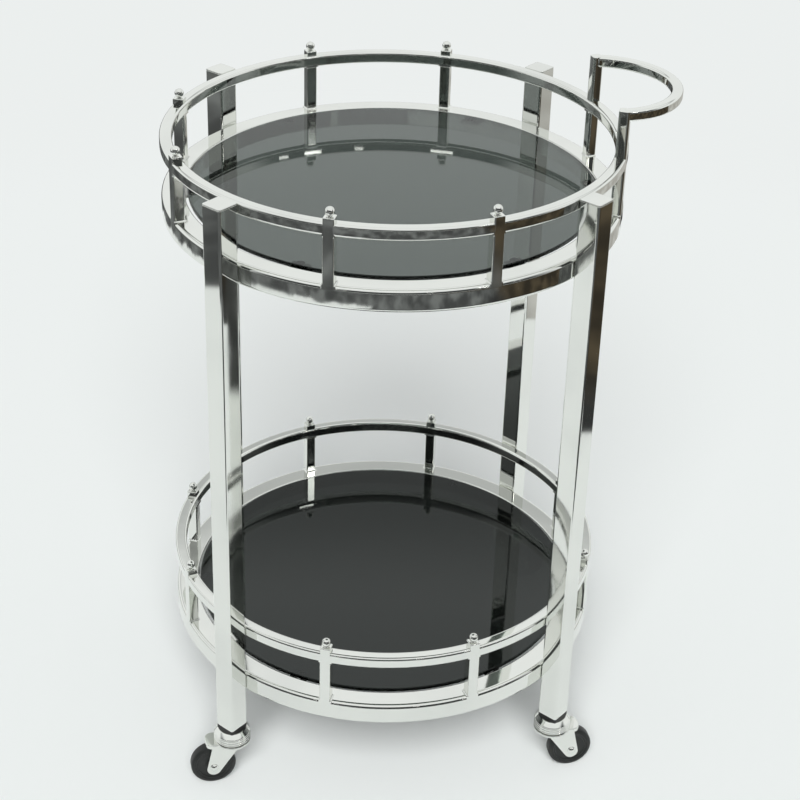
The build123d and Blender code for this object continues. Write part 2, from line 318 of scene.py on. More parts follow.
lug_steel = plain_steel("satin_lug_steel", (0.72, 0.72, 0.71, 1), 0.18)
ball_steel = plain_steel("bearing_ball_steel", (0.78, 0.78, 0.77, 1), 0.06)
clear_pad, place, surface = new_finish("clear_glass_pad")
cloud = place.noise(cloud_scale, cloud_detail)
feed(surface, Base_Color=cloud.blend((0.62, 0.64, 0.63, 1), (0.78, 0.8, 0.79, 1)),
     Roughness=pad_rough + cloud_rough * cloud, Transmission_Weight=pad_clear, IOR=pad_ior)
print("small finishes:", lug_steel.name, ball_steel.name, clear_pad.name)

# %% [markdown]
# A few helpers for modelling. Blender's operators act on whatever is selected, so each step
# clears the selection first, and then picks its vertices or edges by where they are.

# %% Helpers for edit mode
near = 0.01 * mm


def clear_selection():
    if bpy.context.mode != "OBJECT":
        bpy.ops.object.mode_set(mode="OBJECT")
    bpy.ops.object.select_all(action="DESELECT")


def take(piece):
    """Makes the piece the only selected and active object."""
    clear_selection()
    piece.select_set(True)
    bpy.context.view_layer.objects.active = piece


def begin(name):
    """Names the shape that was just added, applies its place and size, and opens it."""
    piece = bpy.context.object
    piece.name = name
    bpy.ops.object.transform_apply(location=True, rotation=True, scale=True)
    bpy.ops.object.mode_set(mode="EDIT")
    return piece


def pick(piece, kind, test):
    """In edit mode, selects the vertices or edges that pass a test."""
    bpy.ops.mesh.select_mode(type=kind)
    bpy.ops.mesh.select_all(action="DESELECT")
    mesh = bmesh.from_edit_mesh(piece.data)
    for item in {"VERT": mesh.verts, "EDGE": mesh.edges}[kind]:
        if test(item):
            item.select_set(True)
    bmesh.update_edit_mesh(piece.data)


def close_up(piece):
    """Merges doubled points, turns all faces outwards and leaves edit mode."""
    bpy.ops.mesh.select_all(action="SELECT")
    bpy.ops.mesh.remove_doubles(threshold=near / 10)
    bpy.ops.mesh.normals_make_consistent(inside=False)
    bpy.ops.object.mode_set(mode="OBJECT")
    return piece


print("edit mode helpers ready")

# %% [markdown]
# A finished mesh still has to look smooth. Shading by angle would bend the flats of a tube
# towards its corners, so the normals are weighted by area. Then the piece is painted, tied
# to the body that it moves with, and set in place of its CAD nodes.

# %% Helpers for finishing a piece
crease = 40
flat_weight = 90


def smooth(piece, flats=True):
    """Smooth shading over the rounded corners. The flats keep their true normal."""
    take(piece)
    bpy.ops.object.shade_smooth_by_angle(angle=radians(crease))
    if flats:
        weigh = piece.modifiers.new("flats", "WEIGHTED_NORMAL")
        weigh.keep_sharp = True
        weigh.weight = flat_weight
        bpy.ops.object.modifier_apply(modifier=weigh.name)
    return piece


def dress(piece, finish, body, slot, *nodes):
    """Paints a finished piece, lets it ride on its body and stand for its CAD nodes."""
    piece.data.materials.clear()
    piece.data.materials.append(finish)
    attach(piece, body)
    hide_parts(*nodes)
    return piece


print("finishing helpers ready")

# %% [markdown]
# Each tray is a square tube rolled into a circle, with a thinner square rail above it. A
# torus has the wrong section, so a square is drawn at the rim, its corners are rounded by a
# vertex bevel, and it is spun once round the axis. The radius matters most, because it makes
# the bright and dark lines along each edge. The tray's inner corners are tighter, so that
# the glass lies close to the tube.

# %% Rolling the tray tubes and guard rails
ring_corner = 5.0 * mm
rail_corner = 3.2 * mm
ring_inner_corner = 2.0 * mm
corner_steps = 8
round_steps = 240


def rolled_tube(name, size, corner, inner_corner, top):
    clear_selection()
    middle = (axis_x + tray_radius - size / 2, 0, top - size / 2)
    bpy.ops.mesh.primitive_plane_add(size=size, location=middle, rotation=(pi / 2, 0, 0))
    tube = begin(name)
    inner_face = middle[0] - size / 2
    pick(tube, "VERT", lambda vertex: vertex.co.x > middle[0])
    bpy.ops.mesh.bevel(offset=corner, segments=corner_steps, affect="VERTICES")
    pick(tube, "VERT", lambda vertex: vertex.co.x < inner_face + near)
    bpy.ops.mesh.bevel(offset=inner_corner, segments=corner_steps, affect="VERTICES")
    bpy.ops.mesh.select_all(action="SELECT")
    bpy.ops.mesh.delete(type="ONLY_FACE")
    bpy.ops.mesh.select_all(action="SELECT")
    bpy.ops.mesh.spin(steps=round_steps, angle=2 * pi, center=(axis_x, 0, 0), axis=(0, 0, 1))
    return smooth(close_up(tube))


for tier in ("upper", "lower"):
    ring = rolled_tube(tier + "_tray_tube", ring_size, ring_corner, ring_inner_corner, tray_top[tier])
    dress(ring, tube_round, "frame", "chrome", tier + "_tray_ring")
    rail = rolled_tube(tier + "_rail_tube", rail_size, rail_corner, rail_corner, rail_top[tier])
    dress(rail, tube_round, "frame", "chrome", tier + "_guard_rail")
    print(tier, "tray tube", len(ring.data.polygons), "faces; rail", len(rail.data.polygons), "faces")

# %% [markdown]
# The legs and their caps are straight square bars. A bar starts as a cube at its size, its
# long edges get a round bevel and its end edges a fine one. One bar of each kind is made
# upright on the axis, then copied and turned to face the middle of the tray.

# %% A square bar and its copies
bar_rim_steps = 3


def square_bar(name, size, corner, low, high, rim):
    clear_selection()
    bpy.ops.mesh.primitive_cube_add(size=1, location=(0, 0, (low + high) / 2),
                                    scale=(size, size, high - low))
    bar = begin(name)
    pick(bar, "EDGE", lambda edge: abs(edge.verts[0].co.z - edge.verts[1].co.z) > near)
    bpy.ops.mesh.bevel(offset=corner, segments=corner_steps, affect="EDGES")
    for end in (low, high):
        pick(bar, "EDGE", lambda edge: all(abs(v.co.z - end) < near for v in edge.verts))
        bpy.ops.mesh.bevel(offset=rim, segments=bar_rim_steps, affect="EDGES")
    return smooth(close_up(bar))


def set_down(piece, place, turn=(0, 0, 0)):
    """Turns a piece and sets it in its place, with both applied to its mesh."""
    take(piece)
    piece.rotation_euler = turn
    piece.location = place
    bpy.ops.object.transform_apply(location=True, rotation=True, scale=True)
    return piece


def copy_to(pattern, name, place, turn):
    """A copy of a pattern with its own mesh, turned about Z and set in its place."""
    take(pattern)
    bpy.ops.object.duplicate(linked=False)
    twin = bpy.context.object
    twin.name = name
    return set_down(twin, place, (0, 0, turn))


def facing_out(node):
    """The middle of a node's box on the floor, and its heading from the tray's axis."""
    low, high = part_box(node)
    middle = (low + high) / 2
    return Vector((middle.x, middle.y, 0)), atan2(middle.y, middle.x - axis_x)


print("bar helpers ready")

# %% [markdown]
# A leg is as thick as the tray's tube. Its foot and top have a fine edge, as sawn tube has,
# and the flat cap on top has a softer one. The seam between the two edges is what
# shows that the cap is a piece of its own.

# %% Standing up the legs
leg_low, leg_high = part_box("leg_front_left")
cap_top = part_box("leg_caps")[1].z
leg_size = ring_size
leg_corner = 2.5 * mm
leg_rim = 0.25 * mm
cap_rim = 0.7 * mm
leg_pattern = square_bar("leg_pattern", leg_size, leg_corner, leg_low.z, leg_high.z, leg_rim)
cap_pattern = square_bar("cap_pattern", leg_size, leg_corner, leg_high.z, cap_top, cap_rim)
caps = []
for corner in corners:
    place, turn = facing_out("leg_" + corner)
    leg = copy_to(leg_pattern, "leg_tube_" + corner, place, turn)
    dress(leg, tube_up, "frame", "chrome", "leg_" + corner)
    caps.append(copy_to(cap_pattern, "leg_cap_" + corner, place, turn))
print("legs from", round(leg_low.z, 4), "to", round(leg_high.z, 4), "caps to", round(cap_top, 4))

# %% [markdown]
# The CAD model keeps the four caps in one node, so the four copies become one piece too. The
# two patterns have done their work and are removed.

# %% Joining the caps
def join(parts, name):
    """Makes one piece of several."""
    take(parts[0])
    for part in parts:
        part.select_set(True)
    bpy.ops.object.join()
    parts[0].name = name
    return parts[0]


leg_caps = dress(join(caps, "leg_end_caps"), tube_up, "frame", "chrome", "leg_caps")
for pattern in (leg_pattern, cap_pattern):
    bpy.data.objects.remove(pattern)
print("caps joined:", leg_caps.name)

# %% [markdown]
# The posts are thin square bars welded between tray and rail, flush with the rail's outer
# face, and they stand a little above the rail. A post is one rounded square, extruded up
# through a list of heights and widened at some of them: that makes the small hollow fillet
# of the weld on the tray and under the rail. It widens away from the front face, which
# stays flat. The foot reaches down over the tray's rounded corner.

# %% Shaping a welded post
post_at = facing_out("lower_post_front_left")[0]
post_size = 2 * (tray_radius - hypot(post_at.x - axis_x, post_at.y))
post_corner = 1.5 * mm
post_rim = 1.2 * mm
post_rim_steps = 4
post_sink = 4.7 * mm
post_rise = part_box("lower_post_front_left")[1].z - rail_top["lower"]
guard_height = rail_top["lower"] - tray_top["lower"]
weld_throat = 1.8 * mm
weld_steps = 4


def weld(height, side):
    """Heights and widenings of a hollow fillet at a height, on its upper (1) or lower (-1) side."""
    turns = [pi / 2 * step / weld_steps for step in range(weld_steps + 1)]
    points = [(height + side * weld_throat * (1 - cos(turn)), weld_throat * (1 - sin(turn)))
              for turn in turns]
    return points if side > 0 else points[::-1]


def welded_post(name, top, corner, rim):
    under_rail = guard_height - rail_size
    levels = [(-post_sink, weld_throat)] + weld(0, 1) + weld(under_rail, -1)
    levels += [(under_rail + rail_size / 2, 0), (top, 0)]
    clear_selection()
    bpy.ops.mesh.primitive_plane_add(size=post_size, location=(0, 0, -post_sink))
    post = begin(name)
    bpy.ops.mesh.select_all(action="SELECT")
    bpy.ops.mesh.bevel(offset=corner, segments=corner_steps, affect="VERTICES")
    bpy.ops.mesh.select_all(action="SELECT")
    height, wider = -post_sink, 0
    for next_height, next_wider in levels:
        if next_height > height:
            step_up = (0, 0, next_height - height)
            bpy.ops.mesh.extrude_region_move(TRANSFORM_OT_translate={"value": step_up})
        deeper = (post_size + next_wider) / (post_size + wider)
        broader = (post_size + 2 * next_wider) / (post_size + 2 * wider)
        bpy.ops.transform.resize(value=(deeper, broader, 1),
                                 center_override=(post_size / 2, 0, next_height))
        height, wider = next_height, next_wider
    pick(post, "EDGE", lambda edge: all(abs(v.co.z - top) < near for v in edge.verts))
    bpy.ops.mesh.bevel(offset=rim, segments=post_rim_steps, affect="EDGES")
    return smooth(close_up(post))


print("posts of", round(post_size, 4), "rising", round(post_rise, 4), "above the rail")

# %% [markdown]
# The posts are all alike, so one is made and copied to each place that the CAD model has.

# %% Welding in the posts
post_pattern = welded_post("post_pattern", guard_height + post_rise, post_corner, post_rim)
posts = [name for name in frame["nodes"] if "_post_" in name]
for node in posts:
    place, turn = facing_out(node)
    place.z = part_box(node)[0].z
    post = copy_to(post_pattern, node + "_bar", place, turn)
    dress(post, tube_up, "frame", "chrome", node)
bpy.data.objects.remove(post_pattern)
print("posts welded in:", len(posts))

# %% [markdown]
# Finials, cups, axles and wheels are lathe work. Blender can spin an outline about an axis,
# as a lathe does, so the outline is drawn point by point by extruding one vertex. Its round
# stretches are arcs.

# %% Helpers for lathe work
def arc_points(middle, radius, first, last, steps):
    """Points of an arc in the outline's plane, from one angle to another in degrees."""
    turns = [radians(first + (last - first) * step / steps) for step in range(steps + 1)]
    return [(middle[0] + radius * cos(turn), middle[1] + radius * sin(turn)) for turn in turns]


def draw_outline(name, points):
    """A chain of edges through the points, left in edit mode with all of it selected."""
    clear_selection()
    bpy.ops.mesh.primitive_plane_add(size=mm)
    piece = begin(name)
    bpy.ops.mesh.select_mode(type="VERT")
    bpy.ops.mesh.select_all(action="SELECT")
    bpy.ops.mesh.merge(type="CENTER")
    bpy.ops.transform.translate(value=points[0])
    for here, there in zip(points, points[1:]):
        step = Vector(there) - Vector(here)
        bpy.ops.mesh.extrude_region_move(TRANSFORM_OT_translate={"value": step})
    bpy.ops.mesh.select_all(action="SELECT")
    return piece


def turned(name, outline, steps):
    """Lathe work about the Z axis from an outline of (radius, height)."""
    piece = draw_outline(name, [(radius, 0, height) for radius, height in outline])
    bpy.ops.mesh.spin(steps=steps, angle=2 * pi, center=(0, 0, 0), axis=(0, 0, 1))
    return smooth(close_up(piece), flats=False)


print("lathe helpers ready")

# %% [markdown]
# A turned ball finial stands on every post. Drawing its outline keeps the hollow neck under
# the ball, which a sphere on a cylinder would lose. Each tier's finials become one piece,
# as in the CAD model.

# %% Turning the finials
ball_radius = 5.25 * mm
neck_radius = 3 * mm
neck_height = 1 * mm
neck_flare = 0.8 * mm
neck_steps, ball_steps, finial_steps = 5, 24, 64
ball_middle = neck_height + sqrt(ball_radius ** 2 - neck_radius ** 2)
ball_start = -acos(neck_radius / ball_radius) * 180 / pi
finial_outline = (
    [(0, 0)]
    + arc_points((neck_radius + neck_flare, neck_flare), neck_flare, 270, 180, neck_steps)
    + arc_points((0, ball_middle), ball_radius, ball_start, 90, ball_steps)
)
finial_outline[-1] = (0, finial_outline[-1][1])
finial_pattern = turned("finial_pattern", finial_outline, finial_steps)
for tier in ("upper", "lower"):
    tier_posts = [node for node in posts if node.startswith(tier)]
    knobs = []
    for node in tier_posts:
        place, turn = facing_out(node)
        place.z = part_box(node)[1].z
        knobs.append(copy_to(finial_pattern, "knob", place, turn))
    dress(join(knobs, tier + "_ball_finials"), turned_metal, "frame", "chrome", tier + "_finials")
    print(tier, "finials:", len(tier_posts))
bpy.data.objects.remove(finial_pattern)

# %% [markdown]
# The push handle is a bow of thin square tube on two uprights, which carry on from the two
# right-hand posts. The bow is an arc, so its rounded square is spun part of the way round
# the arc's own middle, and the uprights are welded posts again. They stop a hair below the
# bow's top: two faces in one plane would show as black specks.

# %% Bending the handle
handle_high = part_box("push_handle")[1]
bar = post_size
bow_proud = 0.15 * mm
bow_steps = 80
handle_corner = 3.2 * mm
place, turn = facing_out("lower_post_right_front")
end = place.copy()
apex_x = handle_high.x - bar / 2
rise = apex_x - end.x
bow_radius = (end.y ** 2 + rise ** 2) / (2 * rise)
bow_middle = apex_x - bow_radius
half_turn = atan2(-end.y, end.x - bow_middle)
print("bow radius", round(bow_radius, 4), "half turn", round(half_turn * 180 / pi, 1))

clear_selection()
bow_start = (bow_middle + bow_radius * cos(half_turn), -bow_radius * sin(half_turn),
             handle_high.z - bar / 2)
bpy.ops.mesh.primitive_plane_add(size=bar, location=bow_start, rotation=(pi / 2, 0, -half_turn))
bow = begin("bow")
bpy.ops.mesh.select_all(action="SELECT")
bpy.ops.mesh.bevel(offset=handle_corner, segments=corner_steps, affect="VERTICES")
bpy.ops.mesh.select_all(action="SELECT")
bpy.ops.mesh.spin(steps=bow_steps, angle=-2 * half_turn, center=(bow_middle, 0, 0), axis=(0, 0, 1))
bow = smooth(close_up(bow))
print("bow reaches x", round(max(v.co.x for v in bow.data.vertices), 4))

# %% [markdown]
# The two uprights mirror each other, so one is made and set down twice. The CAD model keeps
# the bow and its uprights in one node, so they become one piece here.

# %% Setting the handle on its uprights
upright_rim = 0.6 * mm
upright_top = handle_high.z - tray_top["upper"] - bow_proud
upright = welded_post("upright", upright_top, handle_corner, upright_rim)
sides = []
for side in (1, -1):
    foot = Vector((end.x, side * end.y, tray_top["upper"]))
    sides.append(copy_to(upright, "handle_side", foot, side * turn))
bpy.data.objects.remove(upright)
handle = dress(join([bow] + sides, "handle_bow"), tube_up, "frame", "chrome", "push_handle")
print("handle:", handle.name, "on", len(sides), "uprights of", round(upright_top, 4))

# %% [markdown]
# Each shelf is one disc of glass with a polished round edge. A cylinder with many sides is
# the start, and its two rims are beveled: a sharp rim would catch no light.

# %% Cutting the glass
glass_sides = 256
glass_edge = 1.2 * mm
glass_edge_steps = 4
for tier in ("upper", "lower"):
    low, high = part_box(tier + "_glass")
    clear_selection()
    glass_radius = (high.x - low.x) / 2
    bpy.ops.mesh.primitive_cylinder_add(vertices=glass_sides, radius=glass_radius, depth=high.z - low.z,
                                        location=(axis_x, 0, (low.z + high.z) / 2))
    shelf = begin(tier + "_glass_shelf")
    pick(shelf, "EDGE", lambda edge: abs(edge.verts[0].co.z - edge.verts[1].co.z) < near)
    bpy.ops.mesh.bevel(offset=glass_edge, segments=glass_edge_steps, affect="EDGES")
    smooth(close_up(shelf))
    dress(shelf, smoked_glass[tier], tier + "_shelf", "smoked_glass", tier + "_glass")
    print(tier, "glass", round(glass_radius, 4), "radius")

# %% [markdown]
# The casters are pressed and turned. One is built at the origin with its swivel on the Z
# axis and its wheel trailing along +X: a round bearing cup, a yoke with a tongue and two
# side plates, an axle with domed heads, a moulded wheel and its tyre. Then each piece is
# copied to the four legs.

# %% Measuring a caster
joints = {joint["name"]: joint for joint in frame["joints"]}
swivel = {corner: Vector(joints["swivel_" + corner]["pos_m"]) for corner in corners}
axle_at = {corner: Vector(joints["roll_" + corner]["pos_m"]) for corner in corners}
lag = axle_at["front_left"] - swivel["front_left"]
trail = hypot(lag.x, lag.y)
wheel_radius = axle_at["front_left"].z
wheel_width = 15 * mm
cup_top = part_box("leg_plugs")[0].z
cup_radius = 21.5 * mm
cup_height = 16.2 * mm
cup_bottom = cup_top - cup_height
swivel_gap = 0.5 * mm
crown_top = cup_bottom - swivel_gap
crown_thick = 3 * mm
plate_thick = 2.5 * mm
fork_half = 12 * mm
print("trail", round(trail, 4), "wheel radius", round(wheel_radius, 4), "cup top", round(cup_top, 4))

# %% [markdown]
# The bearing cup is lathe work like the finials. Its sloping shoulder is softened by two
# small arcs, and its wall carries three beads, which catch the light as thin rings.

# %% Turning the bearing cup
cup_shoulder = 5 * mm
cup_turn = 1.4 * mm
cup_bead = 1.1 * mm
bead_count = 3
first_bead = 2.2 * mm
bead_top = cup_top - cup_shoulder - first_bead
bead_pitch = 3.1 * mm
bead_middle = cup_radius - cup_bead / 2
bead_reach = 80
cup_wall = 2 * mm
cup_hollow = cup_radius - cup_wall
cup_plate = 7.5 * mm
cup_roof = cup_top - cup_plate
turn_steps, bead_steps, cup_steps = 5, 6, 72
bend = cup_turn * sin(pi / 8) / cos(pi / 8)
beads = []
for bead in range(bead_count):
    beads += arc_points((bead_middle, bead_top - bead * bead_pitch),
                        cup_bead, bead_reach, -bead_reach, bead_steps)
cup_outline = (
    [(0, cup_top)]
    + arc_points((cup_radius - cup_shoulder - bend, cup_top - cup_turn), cup_turn, 90, 45, turn_steps)
    + arc_points((cup_radius - cup_turn, cup_top - cup_shoulder - bend), cup_turn, 45, 0, turn_steps)
    + beads
    + [(cup_radius - cup_bead, cup_bottom), (cup_hollow, cup_bottom)]
    + [(cup_hollow, cup_roof), (0, cup_roof)]
)
cup_pattern = turned("cup_pattern", cup_outline, cup_steps)
print("cup", len(cup_pattern.data.polygons), "faces")

# %% [markdown]
# The axle is a pin with a washer and a domed head at each end. Only one end is worked out:
# the outline is mirrored for the other. Lathe work stands on the Z axis, so the axle is laid
# over onto the wheel's own axis afterwards.

# %% Turning the axle
head_radius = 4.4 * mm
head_height = 2.2 * mm
washer_radius = 5 * mm
washer_thick = 0.6 * mm
dome_radius = (head_radius ** 2 + head_height ** 2) / (2 * head_height)
dome_edge = asin(head_radius / dome_radius) * 180 / pi
running_gap = 0.05 * mm
washer_edge = 0.2 * mm
dome_steps, axle_steps = 10, 40
face = fork_half + running_gap
seat = face + washer_thick
half_axle = (
    [(washer_radius - washer_edge, face), (washer_radius, face + washer_edge)]
    + [(washer_radius, seat - washer_edge), (washer_radius - washer_edge, seat), (head_radius, seat)]
    + arc_points((0, seat + head_height - dome_radius), dome_radius, 90 - dome_edge, 90, dome_steps)
)
half_axle[-1] = (0, half_axle[-1][1])
axle_pin = 3.5 * mm
other_half = [(radius, -height) for radius, height in reversed(half_axle)]
axle_outline = other_half + [(axle_pin, -face), (axle_pin, face)] + half_axle
axle_pattern = turned("axle_pattern", axle_outline, axle_steps)


def lay_on_axle(piece):
    """Turns lathe work from the Z axis onto the wheel's axle."""
    return set_down(piece, (trail, 0, wheel_radius), (pi / 2, 0, 0))


lay_on_axle(axle_pattern)
print("axle", len(axle_pattern.data.polygons), "faces")

# %% [markdown]
# The tyre is a closed ring with well rounded shoulders and a slightly crowned tread. It is a
# piece of its own, as in the CAD model: on such wheels it is moulded over the core.

# %% Moulding the tyre
tyre_depth = 6 * mm
rim_radius = wheel_radius - tyre_depth
tyre_corner = 4 * mm
tyre_lip = 0.6 * mm
tread_crown = 8
shoulder_steps, tyre_steps = 8, 96
half_width = wheel_width / 2
shoulder_x, shoulder_y = wheel_radius - tyre_corner, half_width - tyre_corner
tread = (
    [(rim_radius, -half_width + tyre_lip), (rim_radius + tyre_lip, -half_width)]
    + arc_points((shoulder_x, -shoulder_y), tyre_corner, -90, -tread_crown, shoulder_steps)
    + [(wheel_radius, 0)]
    + arc_points((shoulder_x, shoulder_y), tyre_corner, tread_crown, 90, shoulder_steps)
    + [(rim_radius + tyre_lip, half_width), (rim_radius, half_width - tyre_lip)]
    + [(rim_radius, -half_width + tyre_lip)]
)
tyre_pattern = lay_on_axle(turned("tyre_pattern", tread, tyre_steps))
print("tyre", len(tyre_pattern.data.polygons), "faces")

# %% [markdown]
# The wheel's core has a hub, a thin web and a rim. Half of its outline is drawn from hub to
# rim, with a small hollow where the web meets both, and mirrored for the other side.

# %% Moulding the wheel's core
hub_radius = 9 * mm
hub_half = 9.2 * mm
hub_edge = 0.5 * mm
web_depth = 1.8 * mm
web_half = half_width - web_depth
web_fillet = 0.6 * mm
fillet_y = -web_half - web_fillet
rim_inner = rim_radius - 2.5 * mm
rim_flat = rim_radius - 2.1 * mm
rim_edge, rim_depth = 1.1 * mm, 0.8 * mm
fillet_steps, wheel_steps = 4, 72
wheel_outline = [(axle_pin + running_gap, -hub_half)]
wheel_outline += [(hub_radius - hub_edge, -hub_half), (hub_radius, -hub_half + hub_edge)]
wheel_outline += arc_points((hub_radius + web_fillet, fillet_y), web_fillet, 180, 90, fillet_steps)
wheel_outline += arc_points((rim_inner - web_fillet, fillet_y), web_fillet, 90, 0, fillet_steps)
wheel_outline += [(rim_inner, -half_width + rim_edge), (rim_flat, -half_width + rim_depth)]
wheel_outline += [(rim_radius - running_gap, -half_width + rim_depth)]
wheel_outline += [(radius, -height) for radius, height in reversed(wheel_outline)]
wheel_outline.append(wheel_outline[0])
wheel_pattern = lay_on_axle(turned("wheel_pattern", wheel_outline, wheel_steps))
print("wheel", len(wheel_pattern.data.polygons), "faces")

# %% [markdown]
# The yoke is pressed from sheet metal: a round crown with a tongue over the wheel, a lip
# folded down round the tongue, and two tapering cheeks that hold the axle. Each is a flat
# outline, filled, extruded to its thickness and rounded by a Bevel modifier.

# %% A helper for sheet metal
rounding_steps = 3
rounding_angle = 50


def plate(name, outline, thickness, round_off):
    """A plate cut to an outline, thickened upwards, its edges rounded."""
    piece = draw_outline(name, [(x, y, 0) for x, y in outline])
    bpy.ops.mesh.edge_face_add()
    bpy.ops.mesh.extrude_region_move(TRANSFORM_OT_translate={"value": (0, 0, thickness)})
    close_up(piece)
    take(piece)
    rounding = piece.modifiers.new("rounding", "BEVEL")
    rounding.width = round_off
    rounding.segments = rounding_steps
    rounding.limit_method = "ANGLE"
    rounding.angle_limit = radians(rounding_angle)
    bpy.ops.object.modifier_apply(modifier=rounding.name)
    return piece


print("sheet metal helper ready")

# %% [markdown]
# Crown and lip share the round end of the tongue, so its arc is worked out once. The lip
# reaches a little way up into the crown: the two then join without a gap.

# %% Pressing the crown and its lip
crown_radius = 22 * mm
crown_edge = 0.9 * mm
sheet_edge = 0.5 * mm
overlap = 1 * mm
tongue_reach = 9 * mm
fork_rear = trail + tongue_reach
tongue_corner = 8 * mm
tongue_steps, crown_steps = 8, 48
shoulder = asin(fork_half / crown_radius) * 180 / pi
tongue_x = fork_rear - tongue_corner
tongue_y = fork_half - tongue_corner
tongue_end = (
    arc_points((tongue_x, -tongue_y), tongue_corner, -90, 0, tongue_steps)
    + arc_points((tongue_x, tongue_y), tongue_corner, 0, 90, tongue_steps)
)
crown_outline = tongue_end + arc_points((0, 0), crown_radius, shoulder, 360 - shoulder, crown_steps)
crown_low = crown_top - crown_thick
crown = set_down(plate("crown", crown_outline, crown_thick, crown_edge), (0, 0, crown_low))
lip_drop = 2.8 * mm
lip_inner = tongue_corner - plate_thick
lip_outline = (
    tongue_end
    + arc_points((tongue_x, tongue_y), lip_inner, 90, 0, tongue_steps)
    + arc_points((tongue_x, -tongue_y), lip_inner, 0, -90, tongue_steps)
)
lip = set_down(plate("lip", lip_outline, lip_drop + overlap, sheet_edge), (0, 0, crown_low - lip_drop))
print("crown", len(crown.data.polygons), "faces; lip", len(lip.data.polygons), "faces")

# %% [markdown]
# A cheek tapers from the crown to a round tip at the axle. Its two long edges are straight
# lines that just touch the tip's circle, so the points of touch are worked out first. The
# race is the short drum that turns inside the cup.

# %% Pressing the cheeks
tip_radius = 8.5 * mm
tip_drop = 2.5 * mm
tip_steps = 24
plate_top = crown_top - overlap
lead = -11 * mm


def tangent(corner_x, side):
    """The angle on the plate's round tip where a line from a top corner just touches it."""
    dx, dz = corner_x - trail, plate_top - wheel_radius + tip_drop
    return (atan2(dz, dx) + side * acos(tip_radius / hypot(dx, dz))) * 180 / pi


front_touch, rear_touch = tangent(lead, 1), tangent(tongue_x, -1)
side_outline = (
    [(tongue_x, plate_top), (lead, plate_top)]
    + arc_points((trail, wheel_radius - tip_drop), tip_radius, front_touch, rear_touch + 360, tip_steps)
)
cheeks = []
for side in (1, -1):
    cheek = plate("cheek", side_outline, plate_thick, sheet_edge)
    cheek_y = side * (fork_half - plate_thick / 2) + plate_thick / 2
    cheeks.append(set_down(cheek, (0, cheek_y, 0), (pi / 2, 0, 0)))
race_radius = 18.7 * mm
race_rise = 2 * mm
race_steps = 48
race_low, race_high = crown_top - overlap, cup_bottom + race_rise
race_outline = [(0, race_low), (race_radius, race_low), (race_radius, race_high), (0, race_high)]
race = turned("race", race_outline, race_steps)
fork_pattern = smooth(join([crown, lip, race] + cheeks, "fork_pattern"))
print("yoke", len(fork_pattern.data.polygons), "faces; the cheek touches its tip at",
      round(front_touch), "and", round(rear_touch), "degrees")

# %% [markdown]
# One caster is ready at the origin. The CAD joints say where each swivel and axle stand, so
# every copy is turned the way its wheel trails. The cup stays with the frame, the yoke and
# axle ride on the swivel, and the wheel and tyre on the wheel's body, so that all of them
# turn as on the real cart.

# %% Copying the caster to the four legs
for corner in corners:
    lag = axle_at[corner] - swivel[corner]
    turn = atan2(lag.y, lag.x)
    place = Vector((swivel[corner].x, swivel[corner].y, 0))
    for pattern, kind, finish, body, slot in (
        (cup_pattern, "cup", turned_metal, "frame", "chrome"),
        (fork_pattern, "fork", pressed_metal, "swivel_" + corner, "chrome"),
        (axle_pattern, "axle", turned_metal, "swivel_" + corner, "chrome"),
        (wheel_pattern, "wheel", wheel_black, "wheel_" + corner, "black_plastic"),
        (tyre_pattern, "tyre", tyre_black, "wheel_" + corner, "black_tyre"),
    ):
        piece = copy_to(pattern, "castor_" + kind + "_" + corner, place, turn)
        dress(piece, finish, body, slot, "caster_" + kind + "_" + corner)
for pattern in (cup_pattern, fork_pattern, axle_pattern, wheel_pattern, tyre_pattern):
    bpy.data.objects.remove(pattern)
print("casters set under", len(corners), "legs")

# %% [markdown]
# The small pieces under the glass, the bearing balls and the black feet are right as the
# CAD made them, so they only get a finish.

# %% Painting the CAD pieces that stay
# The feet's black is partly a plug's and partly the painted shade of the gap between leg and cup.
kept = {"glass_tabs": lug_steel, "glass_pads": clear_pad,
        "caster_balls": ball_steel, "leg_plugs": foot_plug_and_shade}
painted = []
for name, node in frame["nodes"].items():
    for part, finish in kept.items():
        if part in name:
            node.data.materials.clear()
            node.data.materials.append(finish)
            painted.append(name)
print("kept CAD nodes:", painted)

# %% [markdown]
# Polished metal shows what is around it, so the studio matters as much as the finish. The
# cart stands on a white sheet, and the floor is one pale plane that takes the shadow. Away
# from the cart it turns into plain light of the background's colour, so that no horizon
# shows. A curved backdrop would do the same, but its bend would show in the metal.

# %% Laying the floor
background = (0.835, 0.863, 0.855, 1)
floor_size, floor_rough = 60, 0.9
glow_from, glow_full = 1.25, 2.1
back_depth, back_painted_light = 0.7, 0.4
floor_paint, place, surface = new_finish("floor")
reach = place.node("ShaderNodeVectorMath", {"operation": "LENGTH"}, {0: place}, "Value")
feed(surface, Base_Color=background, Roughness=floor_rough, Specular_IOR_Level=0.0)
glow = place.node("ShaderNodeEmission", {}, {"Color": background, "Strength": 1.0})
shown = place.node("ShaderNodeLightPath", output="Is Camera Ray")
mirrored = place.node("ShaderNodeLightPath", output="Is Glossy Ray")
through = place.node("ShaderNodeLightPath", output="Is Transmission Ray")
seen = (shown + mirrored + through).math("MINIMUM", 1.0)
lit = Value(floor_paint.node_tree, surface.outputs[0])
# Behind the cart a share of the floor, up to back_painted_light, is painted light of the background's
# colour, which lightens the cart's shadow there.
behind = place.part("Y").ramp(0.0, back_depth)
share = reach.ramp(glow_from, glow_full).math("MAXIMUM", back_painted_light * behind)
mixed = place.node("ShaderNodeMixShader", {}, {0: share * seen, 1: lit, 2: glow})
output = floor_paint.node_tree.nodes["Material Output"]
floor_paint.node_tree.links.new(mixed.socket, output.inputs["Surface"])
clear_selection()
bpy.ops.mesh.primitive_plane_add(size=floor_size, location=(0, 0, 0))
floor = bpy.context.object
floor.name = "floor"
floor.data.materials.append(floor_paint)
print("floor", floor.dimensions[:])

